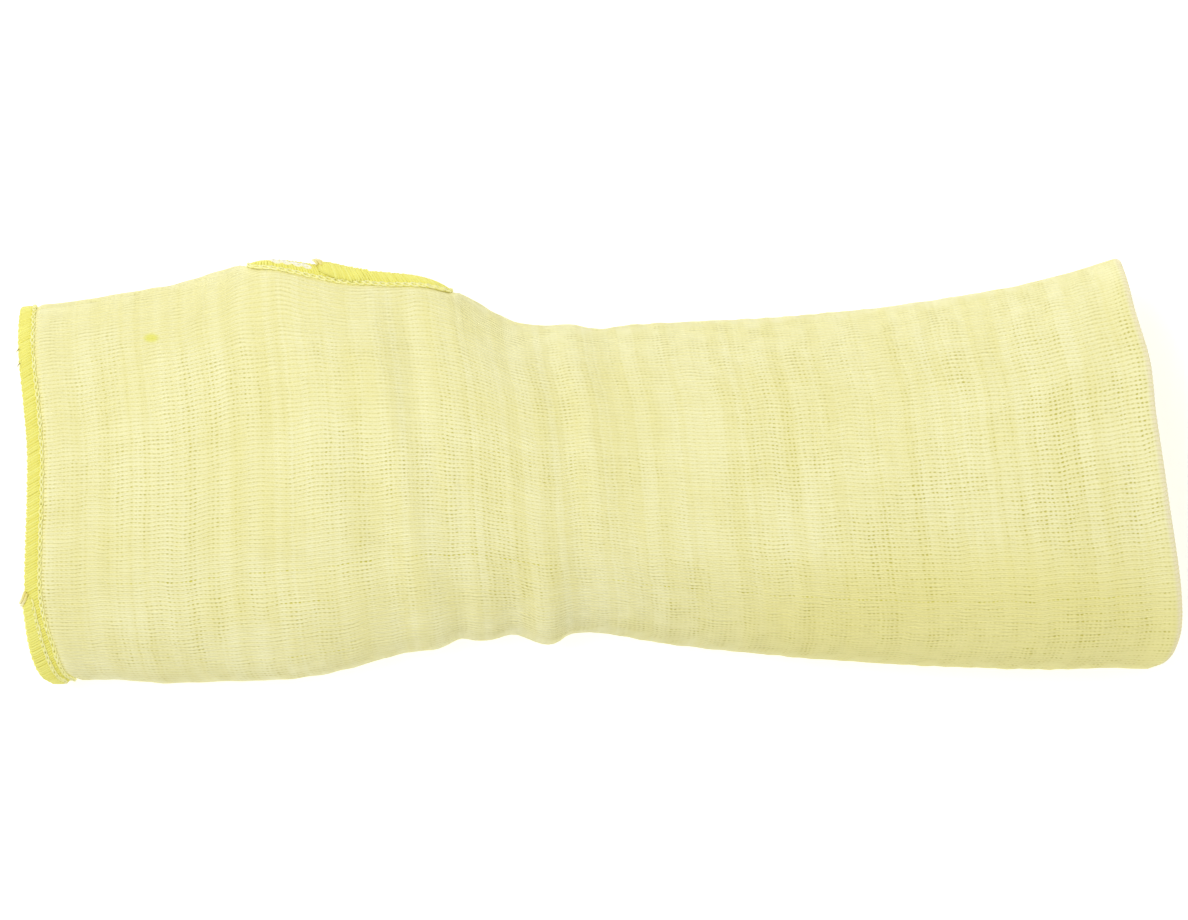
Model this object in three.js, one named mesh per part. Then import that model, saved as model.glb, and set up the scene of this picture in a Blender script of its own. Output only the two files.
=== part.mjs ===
// A knitted cut resistant sleeve with a thumb slot, filled out and lying on a flat surface.
// Millimetres, +Z up. The hand end is at -X, the forearm end at +X and the thumb side at +Y.
// The origin is the middle of the footprint on the surface.
import * as THREE from 'three';

// Driving sizes
const LENGTH = 245;                                 // hand edge to forearm edge, along a side fold
const HAND = { width: 84, height: 34 };
const WRIST = { width: 68, height: 36 };
const FOREARM = { width: 92, height: 48 };
const KNIT_WALL = 1.8;                              // both plies of the knit together
const OVERLOCK = { width: 3.6, skin: 0.5 };         // the thread band over a serged edge
const PULL = { strip: 0.5, swell: 3 };              // the knit drawn in past the thread
const OVERLAP = { swing: 1.3, innerWidth: 1.6 };    // where a band's end is sewn over its start
const SLOT = { fromHand: 54, length: 39, mouth: 13, above: 3.5, flare: 7.4, tuck: 4 };
const CLEARANCE = 0.35;                             // between the knit and the thread round it

// Proportions of the filled tube
const WIDEST_LINE = 0.45;                           // height of the widest line, as a share
const SAG = 1.06;                                   // above 1, the underside lies flat
const LIP_FADE = { round: 0.923, run: 1.2, power: 6 };   // shares of the slot's mouth and half length
const CREASE_FADE = 0.6;                            // creases die out this far under the widest line
const FOLD_ENDS = { power: 0.7, blunt: 0.02 };      // how a fold dies out towards its two ends
const SWING_SPAN = { from: 125, full: 150, until: 195, to: 215 };   // degrees round the hand edge
const BAND_ROUNDING = 0.6;                          // of a band's corners, as a share of its skin

// Reaches in from a finished edge
const SEAM_START = OVERLOCK.skin + CLEARANCE;       // the knit's own cut edge
const SEAM_BORDER = OVERLOCK.width + PULL.strip;    // end of the strip that the thread draws in
const SEAM_SWELL = SEAM_BORDER + PULL.swell;        // where the knit has its full thickness again
const SEAM_MIDDLE = (SEAM_START + SEAM_BORDER) / 2;

// Cross sections of the outer face. Along is a share of the length, the rest are shares of the zone's
// width and height; both sides are measured from the X axis.
const SECTIONS = [
  { along: 0.000, zone: HAND, thumbSide: 0.433, outerSide: 0.562, height: 0.92 },
  { along: 0.050, zone: HAND, thumbSide: 0.449, outerSide: 0.557, height: 0.96 },
  { along: 0.100, zone: HAND, thumbSide: 0.473, outerSide: 0.566, height: 1.00 },
  { along: 0.150, zone: HAND, thumbSide: 0.500, outerSide: 0.562, height: 1.03 },
  { along: 0.200, zone: HAND, thumbSide: 0.544, outerSide: 0.558, height: 1.06 },
  { along: 0.250, zone: HAND, thumbSide: 0.551, outerSide: 0.541, height: 1.08 },
  { along: 0.300, zone: HAND, thumbSide: 0.536, outerSide: 0.502, height: 1.08 },
  { along: 0.350, zone: WRIST, thumbSide: 0.638, outerSide: 0.578, height: 1.00 },
  { along: 0.400, zone: WRIST, thumbSide: 0.580, outerSide: 0.552, height: 0.99 },
  { along: 0.450, zone: WRIST, thumbSide: 0.488, outerSide: 0.552, height: 1.00 },
  { along: 0.500, zone: WRIST, thumbSide: 0.476, outerSide: 0.538, height: 1.00 },
  { along: 0.550, zone: WRIST, thumbSide: 0.478, outerSide: 0.566, height: 1.02 },
  { along: 0.600, zone: WRIST, thumbSide: 0.485, outerSide: 0.588, height: 1.05 },
  { along: 0.700, zone: FOREARM, thumbSide: 0.373, outerSide: 0.459, height: 0.86 },
  { along: 0.800, zone: FOREARM, thumbSide: 0.400, outerSide: 0.475, height: 0.92 },
  { along: 0.900, zone: FOREARM, thumbSide: 0.443, outerSide: 0.483, height: 0.97 },
  { along: 0.950, zone: FOREARM, thumbSide: 0.475, outerSide: 0.480, height: 0.99 },
  { along: 1.000, zone: FOREARM, thumbSide: 0.514, outerSide: 0.480, height: 1.00 },
];

// Outlines of the two ends in plan, as shares of the length measured from the middle. Across runs
// from 1 on the thumb side to -1 on the outer side.
const END_OUTLINES = [
  { across: 1.00, hand: 0.5285, forearm: 0.4730 },
  { across: 0.90, hand: 0.5295, forearm: 0.4785 },
  { across: 0.75, hand: 0.5290, forearm: 0.4850 },
  { across: 0.50, hand: 0.5245, forearm: 0.4981 },
  { across: 0.25, hand: 0.5208, forearm: 0.5031 },
  { across: 0.00, hand: 0.5208, forearm: 0.5100 },
  { across: -0.25, hand: 0.5222, forearm: 0.5168 },
  { across: -0.50, hand: 0.5231, forearm: 0.5241 },
  { across: -0.65, hand: 0.5205, forearm: 0.5273 },
  { across: -0.80, hand: 0.5171, forearm: 0.5280 },
  { across: -0.90, hand: 0.5126, forearm: 0.5240 },
  { across: -0.97, hand: 0.5062, forearm: 0.5160 },
  { across: -1.00, hand: 0.4976, forearm: 0.5025 },
];

// Creases and soft bulges in the knit, each along a line from one place to another. Places are
// shares as above, rise is a share of the wrist's height and width a share of the wrist's width.
const FOLDS = [
  { name: 'palm ridge', from: [0.310, 0.95], to: [0.335, -0.35], rise: 0.030, width: 0.070 },
  { name: 'palm ridge, outer end', from: [0.325, 0.10], to: [0.352, -1.20], rise: 0.034, width: 0.060 },
  { name: 'valley by the slot', from: [0.345, 0.85], to: [0.342, 0.05], rise: -0.034, width: 0.065 },
  { name: 'valley on the palm', from: [0.290, 0.35], to: [0.325, -0.95], rise: -0.028, width: 0.070 },
  { name: 'dip after the palm', from: [0.372, -0.55], to: [0.372, -1.40], rise: -0.022, width: 0.060 },
  { name: 'bulge at the cuff', from: [0.392, -0.50], to: [0.396, -1.50], rise: 0.020, width: 0.060 },
  { name: 'wrist valley', from: [0.478, 1.05], to: [0.484, -0.60], rise: -0.030, width: 0.055 },
  { name: 'wrist ridge', from: [0.500, 1.10], to: [0.500, -0.45], rise: 0.026, width: 0.060 },
  { name: 'wrist bulge', from: [0.452, -0.45], to: [0.446, -1.50], rise: 0.042, width: 0.055 },
  { name: 'dip before the bulge', from: [0.418, -0.50], to: [0.418, -1.40], rise: -0.022, width: 0.060 },
  { name: 'dip after the bulge', from: [0.478, -0.40], to: [0.478, -1.40], rise: -0.018, width: 0.055 },
  { name: 'hand crease', from: [0.150, 0.30], to: [0.170, -0.55], rise: -0.016, width: 0.080 },
  { name: 'long crease, hand', from: [0.030, -0.60], to: [0.360, -0.45], rise: -0.014, width: 0.060 },
  { name: 'long crease, forearm', from: [0.420, -0.44], to: [1.060, -0.62], rise: 0.022, width: 0.110 },
];

// Mesh steps
const ROW_STEP = 7;
const WRIST_ROW_STEP = 4.6;
const WRIST_END = 0.6;                              // share of the length with the closer rows
const SLOT_STEPS = 16;                              // rows through the slot
const HEM_STEPS = 3;
const LAP_STEPS = 9;
const ARC_STEPS = 12;                               // of a length of cloth round the tube
const ROUND = { from: 38, to: 348 };                // degrees round the tube, clear of the slot
const ROUND_ZONES = [
  { from: 44, to: 140, step: 8 },
  { from: 148, to: 220, step: 9 },
  { from: 232, to: 308, step: 25.4 },
  { from: 320, to: 340, step: 10 },
];

// Where the overlock's second run starts and ends, in degrees round its edge, with its width and
// thickness as shares of the first run's
const HAND_LAP = {
  from: 124, to: 192,
  rows: [
    { at: 0.00, width: 0.40, skin: 1.00 },
    { at: 0.06, width: 0.45, skin: 1.90 },
    { at: 0.18, width: 0.50, skin: 1.50 },
    { at: 0.40, width: 0.75, skin: 1.00 },
    { at: 1.00, width: 0.95, skin: 1.00 },
  ],
};
const SLOT_LAP = {
  from: 84, to: 114,
  rows: [
    { at: 0.00, width: 0.90, skin: 1.10 },
    { at: 0.30, width: 0.95, skin: 1.50 },
    { at: 0.55, width: 0.80, skin: 2.10 },
    { at: 0.75, width: 0.60, skin: 1.20 },
    { at: 1.00, width: 0.45, skin: 0.80 },
  ],
};

const COLOURS = { knit: 0xefebac, overlock: 0xefe973 };

const clamp = THREE.MathUtils.clamp;
const lerp = THREE.MathUtils.lerp;
const rad = THREE.MathUtils.degToRad;
const ease = (x, from, to) => THREE.MathUtils.smoothstep((x - from) / (to - from), 0, 1);

// A smooth curve through one column of a table, whose slope at a row comes from its neighbours
function column(rows, place, value) {
  const points = rows.map((row) => ({ x: place(row), y: value(row) })).sort((a, b) => a.x - b.x);
  const last = points.length - 1;
  const slope = (k) => {
    const before = points[Math.max(k - 1, 0)];
    const after = points[Math.min(k + 1, last)];
    return (after.y - before.y) / (after.x - before.x);
  };
  return (x) => {
    const next = points.findIndex((point) => point.x >= x);
    const k = clamp(next < 0 ? last - 1 : next - 1, 0, last - 1);
    const [a, b] = [points[k], points[k + 1]];
    const run = b.x - a.x;
    const t = clamp((x - a.x) / run, 0, 1);
    const curve = a.y * (1 + 2 * t) * (1 - t) ** 2 + b.y * t * t * (3 - 2 * t)
      + run * (slope(k) * t * (1 - t) ** 2 - slope(k + 1) * t * t * (1 - t));
    return curve + slope(t === 0 ? k : k + 1) * (x - a.x - t * run);
  };
}

const sectionColumn = (value) => column(SECTIONS, (row) => row.along, value);
const thumbSideAt = sectionColumn((row) => row.thumbSide * row.zone.width);
const outerSideAt = sectionColumn((row) => row.outerSide * row.zone.width);
const heightAt = sectionColumn((row) => row.height * row.zone.height);
const handOutlineAt = column(END_OUTLINES, (row) => row.across, (row) => -row.hand * LENGTH);
const forearmOutlineAt = column(END_OUTLINES, (row) => row.across, (row) => row.forearm * LENGTH);

// How far the creases raise or sink the knit at a place seen in plan
function foldRise(along, across) {
  const toMillimetres = ([a, c]) => new THREE.Vector2(a * LENGTH, c * WRIST.width / 2);
  const place = toMillimetres([along, across]);
  let rise = 0;
  for (const fold of FOLDS) {
    const start = toMillimetres(fold.from);
    const run = toMillimetres(fold.to).sub(start);
    const t = clamp(place.clone().sub(start).dot(run) / run.lengthSq(), 0, 1);
    const distance = place.distanceTo(start.addScaledVector(run, t));
    const inside = clamp(t, FOLD_ENDS.blunt, 1 - FOLD_ENDS.blunt);
    const fade = Math.sin(Math.PI * inside) ** FOLD_ENDS.power;
    rise += fold.rise * WRIST.height * fade * Math.exp(-((distance / (fold.width * WRIST.width)) ** 2));
  }
  return rise;
}

// The tube's half width, middle and widest line at a place along it
function sectionAt(along) {
  const thumbSide = thumbSideAt(along);
  const outerSide = outerSideAt(along);
  const height = heightAt(along);
  return {
    middle: (thumbSide - outerSide) / 2,
    half: (thumbSide + outerSide) / 2,
    widest: height * WIDEST_LINE,
    dome: height * (1 - WIDEST_LINE),
  };
}

// Millimetres of cloth for each radian round the section
function roundSpeed({ half, widest, dome }, angle) {
  const down = -Math.sin(angle);
  const rise = down < 0 ? dome : widest * SAG * 2 * (1 - down);
  return Math.hypot(half * Math.sin(angle), rise * Math.cos(angle));
}

// The angle round the section at a length of cloth up or down from the middle of the slot
function angleAtArc(along, arc) {
  const section = sectionAt(along);
  const step = arc / ARC_STEPS;
  let angle = Math.asin(SLOT.above / section.dome);
  for (let k = 0; k < ARC_STEPS; k += 1) {
    const ahead = angle + step / 2 / roundSpeed(section, angle);
    angle += step / roundSpeed(section, ahead);
  }
  return angle;
}

// The length of cloth from the middle of the slot to an angle, the shorter way round
function arcAtAngle(section, angle) {
  const start = Math.asin(SLOT.above / section.dome);
  const step = Math.atan2(Math.sin(angle - start), Math.cos(angle - start)) / ARC_STEPS;
  let arc = 0;
  for (let k = 0; k < ARC_STEPS; k += 1) arc += step * roundSpeed(section, start + (k + 0.5) * step);
  return arc;
}

const slotMiddle = SLOT.fromHand + SLOT.length / 2;

// The slot's finished outline, or a line some reach outside it: along the sleeve and round it
function slotOutline(turn, reach) {
  const [a, b] = [SLOT.length / 2, SLOT.mouth / 2];
  const normal = new THREE.Vector2(Math.cos(turn) / a, Math.sin(turn) / b).normalize();
  return {
    fromHand: slotMiddle + a * Math.cos(turn) + reach * normal.x,
    arc: b * Math.sin(turn) + reach * normal.y,
  };
}

// Distance outside the slot's finished outline
function slotReach(fromHand, arc) {
  const [a, b] = [SLOT.length / 2, SLOT.mouth / 2];
  const [x, y] = [fromHand - slotMiddle, arc];
  const ratio = Math.hypot(x / a, y / b);
  return ratio < 1 ? 0 : (ratio - 1) * ratio / Math.hypot(x / a ** 2, y / b ** 2);
}

// How far the upper lip stands out over the slot and the lower one is tucked in
function lipOffset(fromHand, arc) {
  const run = (fromHand - slotMiddle) / (SLOT.length / 2);
  const lip = lerp(-SLOT.tuck, SLOT.flare, ease(arc, -SLOT.mouth, SLOT.mouth));
  const fade = (run / LIP_FADE.run) ** LIP_FADE.power + (arc / LIP_FADE.round / SLOT.mouth) ** 2;
  return lip * Math.exp(-fade);
}

// A point of the sleeve's outer face, before any thickness
function facePoint(along, angle) {
  const across = Math.cos(angle);
  const up = Math.sin(angle);
  const section = sectionAt(along);
  const { middle, half, widest, dome } = section;
  const sink = Math.min(1, SAG * (1 - (1 + Math.min(up, 0)) ** 2));
  const point = new THREE.Vector3(
    lerp(handOutlineAt(across), forearmOutlineAt(across), along),
    middle + half * across,
    up > 0 ? widest + dome * up : widest * (1 - sink),
  );
  const outward = new THREE.Vector2(across / half, up / dome).normalize();
  const rise = foldRise(along, across) * ease(up, -CREASE_FADE, 0);
  point.y += rise * outward.x + lipOffset(along * LENGTH, arcAtAngle(section, angle));
  point.z += rise * outward.y;
  return point;
}

// A point below the outer face, along its normal, which comes from small steps either way
function clothPoint(fromHand, angle, depth) {
  const along = fromHand / LENGTH;
  const step = 1e-4;
  const aheadAlong = facePoint(along + step, angle).sub(facePoint(along - step, angle));
  const aheadRound = facePoint(along, angle + step).sub(facePoint(along, angle - step));
  const normal = aheadRound.cross(aheadAlong).normalize();
  return facePoint(along, angle).addScaledVector(normal, -depth);
}

// The hand edge's band is wider where its first run swings inward under the second
function bandWidthAt(angle) {
  const { from, full, until, to } = SWING_SPAN;
  const swung = ease(angle, rad(from), rad(full)) * (1 - ease(angle, rad(until), rad(to)));
  return OVERLOCK.width + OVERLAP.swing * swung;
}

// The overlock draws the knit's outer face in, so that the thread lies flush with the cloth
function drawnIn(fromHand, angle) {
  const turned = angle < 0 ? angle + 2 * Math.PI : angle;
  const swing = bandWidthAt(turned) - OVERLOCK.width;
  const arc = arcAtAngle(sectionAt(fromHand / LENGTH), angle);
  const atHand = 1 - ease(fromHand - swing, SEAM_BORDER, SEAM_SWELL);
  const atSlot = 1 - ease(slotReach(fromHand, arc), SEAM_BORDER, SEAM_SWELL);
  return SEAM_START * Math.max(atHand, atSlot);
}

// Even steps after one place up to another, none longer than the longest
function steps(from, to, longest) {
  const count = Math.max(1, Math.ceil((to - from) / longest - 1e-6));
  return Array.from({ length: count }, (_, k) => lerp(from, to, (k + 1) / count));
}

// Rows of the knit: how far from the hand edge each lies, and how far the slot is open there
function knitRows() {
  const slotRows = Array.from({ length: SLOT_STEPS + 1 }, (_, k) => {
    const { fromHand, arc } = slotOutline(Math.PI * (1 - k / SLOT_STEPS), SEAM_START);
    return { fromHand, hole: k % SLOT_STEPS === 0 ? 0 : arc };
  });
  const closed = (fromHand) => ({ fromHand, hole: 0 });
  const swinging = (fromHand) => ({ fromHand, hole: 0, swings: true });
  const slotFinish = SLOT.fromHand + SLOT.length;
  return [
    closed(SEAM_START),
    swinging(SEAM_BORDER),
    swinging(SEAM_SWELL),
    ...steps(SEAM_SWELL, SLOT.fromHand - SEAM_SWELL, ROW_STEP).map(closed),
    closed(SLOT.fromHand - SEAM_BORDER),
    closed(SLOT.fromHand - SEAM_MIDDLE),
    ...slotRows,
    closed(slotFinish + SEAM_MIDDLE),
    closed(slotFinish + SEAM_BORDER),
    closed(slotFinish + SEAM_SWELL),
    ...steps(slotFinish + SEAM_SWELL, WRIST_END * LENGTH, WRIST_ROW_STEP).map(closed),
    ...steps(WRIST_END * LENGTH, LENGTH - KNIT_WALL / 2, ROW_STEP).map(closed),
  ];
}

// Angles of the columns round one row, from the slot's upper lip over the top to its lower lip
function knitColumns({ fromHand, hole }) {
  const along = fromHand / LENGTH;
  const arcs = [SEAM_START, SEAM_MIDDLE, SEAM_BORDER, SEAM_SWELL]
    .map((reach) => hole + reach - SEAM_START);
  const upper = arcs.map((arc) => angleAtArc(along, arc));
  const lower = arcs.map((arc) => angleAtArc(along, -arc) + 2 * Math.PI).reverse();
  const round = ROUND_ZONES
    .flatMap(({ from, to, step }) => [from, ...steps(from, to, step)])
    .map((degrees) => lerp(upper.at(-1), lower[0], (degrees - ROUND.from) / (ROUND.to - ROUND.from)));
  return [...upper, ...round, ...lower];
}

// The rows by the hand edge follow the band's border where it swings inward
function rowPlace(row, angle) {
  return row.fromHand + (row.swings ? bandWidthAt(angle) - OVERLOCK.width : 0);
}

function geometryOf(points, faces) {
  const geometry = new THREE.BufferGeometry();
  const places = points.flatMap((point) => point.toArray());
  geometry.setAttribute('position', new THREE.Float32BufferAttribute(places, 3));
  geometry.setIndex(faces.flat());
  geometry.computeVertexNormals();
  return geometry;
}

// The knit tube: an outer and an inner face, open at both ends and along the slot
function knitSleeve() {
  const rows = knitRows();
  const points = [];
  const add = (fromHand, angle, depth) => points.push(clothPoint(fromHand, angle, depth)) - 1;
  const grid = rows.map((row) => knitColumns(row).map((angle) => {
    const place = rowPlace(row, angle);
    return { outer: add(place, angle, drawnIn(place, angle)), inner: add(place, angle, KNIT_WALL), angle };
  }));
  for (const [r, row] of rows.entries()) {
    if (row.hole === 0) grid[r][grid[r].length - 1] = grid[r][0];
  }
  const faces = [];
  const quad = (a, b, c, d) => faces.push([a, b, c], [a, c, d]);
  for (let r = 0; r + 1 < rows.length; r += 1) {
    const [near, far] = [grid[r], grid[r + 1]];
    for (let c = 0; c + 1 < near.length; c += 1) {
      quad(near[c].outer, near[c + 1].outer, far[c + 1].outer, far[c].outer);
      quad(near[c].inner, far[c].inner, far[c + 1].inner, near[c + 1].inner);
    }
    if (rows[r].hole > 0 || rows[r + 1].hole > 0) {
      const [a, b] = [near[0], far[0]];
      const [y, z] = [near.at(-1), far.at(-1)];
      quad(a.inner, a.outer, b.outer, b.inner);
      quad(y.outer, y.inner, z.inner, z.outer);
    }
  }
  const handRow = grid[0];
  for (let c = 0; c + 1 < handRow.length; c += 1) {
    quad(handRow[c].inner, handRow[c + 1].inner, handRow[c + 1].outer, handRow[c].outer);
  }
  closeHem(grid.at(-1), add, quad);
  return geometryOf(points, faces.filter(([a, b, c]) => a !== b && b !== c && c !== a));
}

// The forearm edge is the fold where the outer ply turns in, so it is round
function closeHem(row, add, quad) {
  const radius = KNIT_WALL / 2;
  const rings = Array.from({ length: HEM_STEPS + 1 }, (_, k) => row.slice(0, -1).map((place) => {
    if (k === 0) return place.outer;
    if (k === HEM_STEPS) return place.inner;
    const turn = Math.PI * k / HEM_STEPS;
    return add(LENGTH - radius * (1 - Math.sin(turn)), place.angle, radius * (1 - Math.cos(turn)));
  }));
  for (let k = 0; k < HEM_STEPS; k += 1) {
    for (let c = 0; c < rings[k].length; c += 1) {
      const next = (c + 1) % rings[k].length;
      quad(rings[k][c], rings[k][next], rings[k + 1][next], rings[k + 1][c]);
    }
  }
}

// Closed outline of a thread band in section: a skin over the outer face, round the cut edge and
// under the inner face. Lift moves it outward, over another band.
function bandProfile({ width, innerWidth, skin, lift }) {
  const nose = OVERLOCK.skin - skin - lift;
  const top = nose;
  const bottom = KNIT_WALL + SEAM_START - nose;
  const round = skin * BAND_ROUNDING;
  return [
    { reach: width, depth: top + round / 2 },
    { reach: width / 2, depth: top },
    { reach: nose + round, depth: top },
    { reach: nose, depth: top + round },
    { reach: nose, depth: bottom - round },
    { reach: nose + round, depth: bottom },
    { reach: innerWidth / 2, depth: bottom },
    { reach: innerWidth, depth: bottom - round / 2 },
    { reach: innerWidth, depth: bottom - skin },
    { reach: innerWidth / 2, depth: bottom - skin },
    { reach: nose + skin, depth: bottom - skin },
    { reach: nose + skin, depth: top + skin },
    { reach: width / 2, depth: top + skin },
    { reach: width, depth: top + skin },
  ];
}

// Joins a row of section rings into one solid: a loop, or capped at both ends if it has a cap
function sweep(rings, cap) {
  const size = rings[0].length;
  const faces = [];
  const last = cap ? rings.length - 1 : rings.length;
  for (let r = 0; r < last; r += 1) {
    const next = (r + 1) % rings.length;
    for (let p = 0; p < size; p += 1) {
      const q = (p + 1) % size;
      const [a, b, c, d] = [r * size + p, r * size + q, next * size + q, next * size + p];
      faces.push([a, b, c], [a, c, d]);
    }
  }
  if (cap) {
    const outline = cap.map(({ reach, depth }) => new THREE.Vector2(reach, depth));
    const start = (rings.length - 1) * size;
    for (const [a, b, c] of THREE.ShapeUtils.triangulateShape(outline, [])) {
      faces.push([a, b, c], [start + a, start + c, start + b]);
    }
  }
  return geometryOf(rings.flat(), faces);
}

const plainBand = (width) => bandProfile({ width, innerWidth: width, skin: OVERLOCK.skin, lift: 0 });

// The thread band round the hand edge
function handBand() {
  const angles = knitColumns(knitRows()[0]).slice(0, -1);
  const rings = angles.map((angle) => plainBand(bandWidthAt(angle))
    .map(({ reach, depth }) => clothPoint(reach, angle, depth)));
  return sweep(rings);
}

// A point on the edge round the slot
function slotPoint(turn, reach, depth) {
  const { fromHand, arc } = slotOutline(turn, reach);
  return clothPoint(fromHand, angleAtArc(fromHand / LENGTH, arc), depth);
}

// The thread band round the slot
function slotBand() {
  const turns = Array.from({ length: 2 * SLOT_STEPS }, (_, k) => Math.PI * k / SLOT_STEPS);
  const rings = turns.map((turn) => plainBand(OVERLOCK.width)
    .map(({ reach, depth }) => slotPoint(turn, reach, depth)));
  return sweep(rings);
}

// The overlock's second run, sewn over the first, with its cut tail as a swelling
function lap({ from, to, rows }, pointAt) {
  const widthAt = column(rows, (row) => row.at, (row) => row.width * OVERLOCK.width);
  const skinAt = column(rows, (row) => row.at, (row) => row.skin * OVERLOCK.skin);
  const profiles = Array.from({ length: LAP_STEPS + 1 }, (_, k) => bandProfile({
    width: widthAt(k / LAP_STEPS),
    innerWidth: OVERLAP.innerWidth,
    skin: skinAt(k / LAP_STEPS),
    lift: OVERLOCK.skin + CLEARANCE,
  }));
  const rings = profiles.map((profile, k) => profile
    .map(({ reach, depth }) => pointAt(rad(lerp(from, to, k / LAP_STEPS)), reach, depth)));
  return sweep(rings, profiles[0]);
}

const handLap = () => lap(HAND_LAP, (angle, reach, depth) => clothPoint(reach, angle, depth));
const slotLap = () => lap(SLOT_LAP, slotPoint);

const fabric = (color) => new THREE.MeshStandardMaterial({ color, roughness: 0.95, metalness: 0 });

function named(name, geometry, color) {
  const mesh = new THREE.Mesh(geometry, fabric(color));
  mesh.name = name;
  return mesh;
}

const sleeve = new THREE.Group();
sleeve.add(
  named('knit_sleeve', knitSleeve(), COLOURS.knit),
  named('hand_edge_overlock', handBand(), COLOURS.overlock),
  named('hand_edge_overlock_lap', handLap(), COLOURS.overlock),
  named('thumb_slot_overlock', slotBand(), COLOURS.overlock),
  named('thumb_slot_overlock_lap', slotLap(), COLOURS.overlock),
);

// The origin is under the middle of the whole sleeve
const middle = new THREE.Box3().setFromObject(sleeve, true).getCenter(new THREE.Vector3());
sleeve.position.set(-middle.x, -middle.y, 0);

export default sleeve;
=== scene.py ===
# %% [markdown]
# # A knitted cut resistant sleeve
# The real thing is a tube of pale yellow aramid yarn, knitted in two plies, that is pulled over the hand,
# the wrist and the forearm. Its forearm end is the fold between the two plies. Its hand end and the slot
# for the thumb are cut, so a sewing machine has wrapped both edges in bright yellow thread.
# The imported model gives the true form. This lesson dresses it: knitted cloth with its wales and stitches,
# thread that wraps the edges, the needle's chain beside it, and the cut tails where each seam ends.

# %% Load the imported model, which stays fixed
import math

import bpy
import numpy as np
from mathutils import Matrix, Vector


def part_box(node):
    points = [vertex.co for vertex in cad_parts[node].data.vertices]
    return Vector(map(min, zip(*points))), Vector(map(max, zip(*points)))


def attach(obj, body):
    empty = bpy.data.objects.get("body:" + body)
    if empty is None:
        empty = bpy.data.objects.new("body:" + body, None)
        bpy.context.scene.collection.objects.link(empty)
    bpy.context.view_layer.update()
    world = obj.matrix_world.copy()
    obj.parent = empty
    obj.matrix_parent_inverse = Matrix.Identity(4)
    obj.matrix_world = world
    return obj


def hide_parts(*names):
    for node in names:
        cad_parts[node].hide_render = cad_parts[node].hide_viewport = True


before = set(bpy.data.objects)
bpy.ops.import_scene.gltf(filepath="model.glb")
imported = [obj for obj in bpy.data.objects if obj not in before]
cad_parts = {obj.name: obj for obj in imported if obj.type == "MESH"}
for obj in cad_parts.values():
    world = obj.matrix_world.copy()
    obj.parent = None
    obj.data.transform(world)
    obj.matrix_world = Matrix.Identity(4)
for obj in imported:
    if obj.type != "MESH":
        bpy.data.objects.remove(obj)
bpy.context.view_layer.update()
bpy.ops.object.select_all(action="DESELECT")
rng = np.random.default_rng(7)  # the same chance each time
print("nodes", sorted(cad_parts))

# %% [markdown]
# ## The form of the tube
# Cloth that lies filled out could be simulated, but the photo shows one exact shape, with creases in known
# places. So the outer face is a formula: cross sections along the tube, the outline of both ends in plan,
# and a list of folds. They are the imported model's own values, so that the cloth fits it everywhere. Only
# the last fold, a small dent, is the cloth's alone. Lengths in the tables are shares of the named sizes.

# %% Sizes of the sleeve
MM = 0.001
LENGTH = 245 * MM
HAND_WIDTH, HAND_HEIGHT = 84 * MM, 34 * MM
WRIST_WIDTH, WRIST_HEIGHT = 68 * MM, 36 * MM
FOREARM_WIDTH, FOREARM_HEIGHT = 92 * MM, 48 * MM
KNIT_WALL = 1.8 * MM  # both plies together
BAND_WIDTH, BAND_SKIN = 3.6 * MM, 0.5 * MM  # the thread over a cut edge
BAND_SWING = 1.3 * MM  # the first run swings in under the second
LAP_LIFT = 0.85 * MM  # the second run lies this much higher
SLOT_START, SLOT_LENGTH, SLOT_MOUTH = 54 * MM, 39 * MM, 13 * MM
SLOT_ABOVE, SLOT_FLARE, SLOT_TUCK = 3.5 * MM, 7.4 * MM, 4 * MM
SLOT_MIDDLE = SLOT_START + SLOT_LENGTH / 2
HALF_SLOT, HALF_MOUTH = SLOT_LENGTH / 2, SLOT_MOUTH / 2
CLEARANCE = 0.35 * MM
SEAM_START = BAND_SKIN + CLEARANCE  # the knit's own cut edge, from the finished edge
SEAM_BORDER = BAND_WIDTH - 1.2 * MM  # the knit is drawn in as far as this
SEAM_SWELL = BAND_WIDTH + 1.6 * MM  # and has its full thickness from here on
WIDEST_LINE, SAG, CREASE_FADE = 0.45, 1.06, 0.6
LIP_FADE_ROUND, LIP_FADE_RUN, LIP_FADE_POWER = 0.923, 1.2, 6
SWING_SPAN = [math.radians(x) for x in (125, 150, 195, 215)]
ARC_STEPS = 12
ANGLE_STEP = 1e-4  # half the step that finds the face's slope
FOLD_TIP, FOLD_POWER = 0.02, 0.7  # how a fold fades out to its two ends

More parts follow.
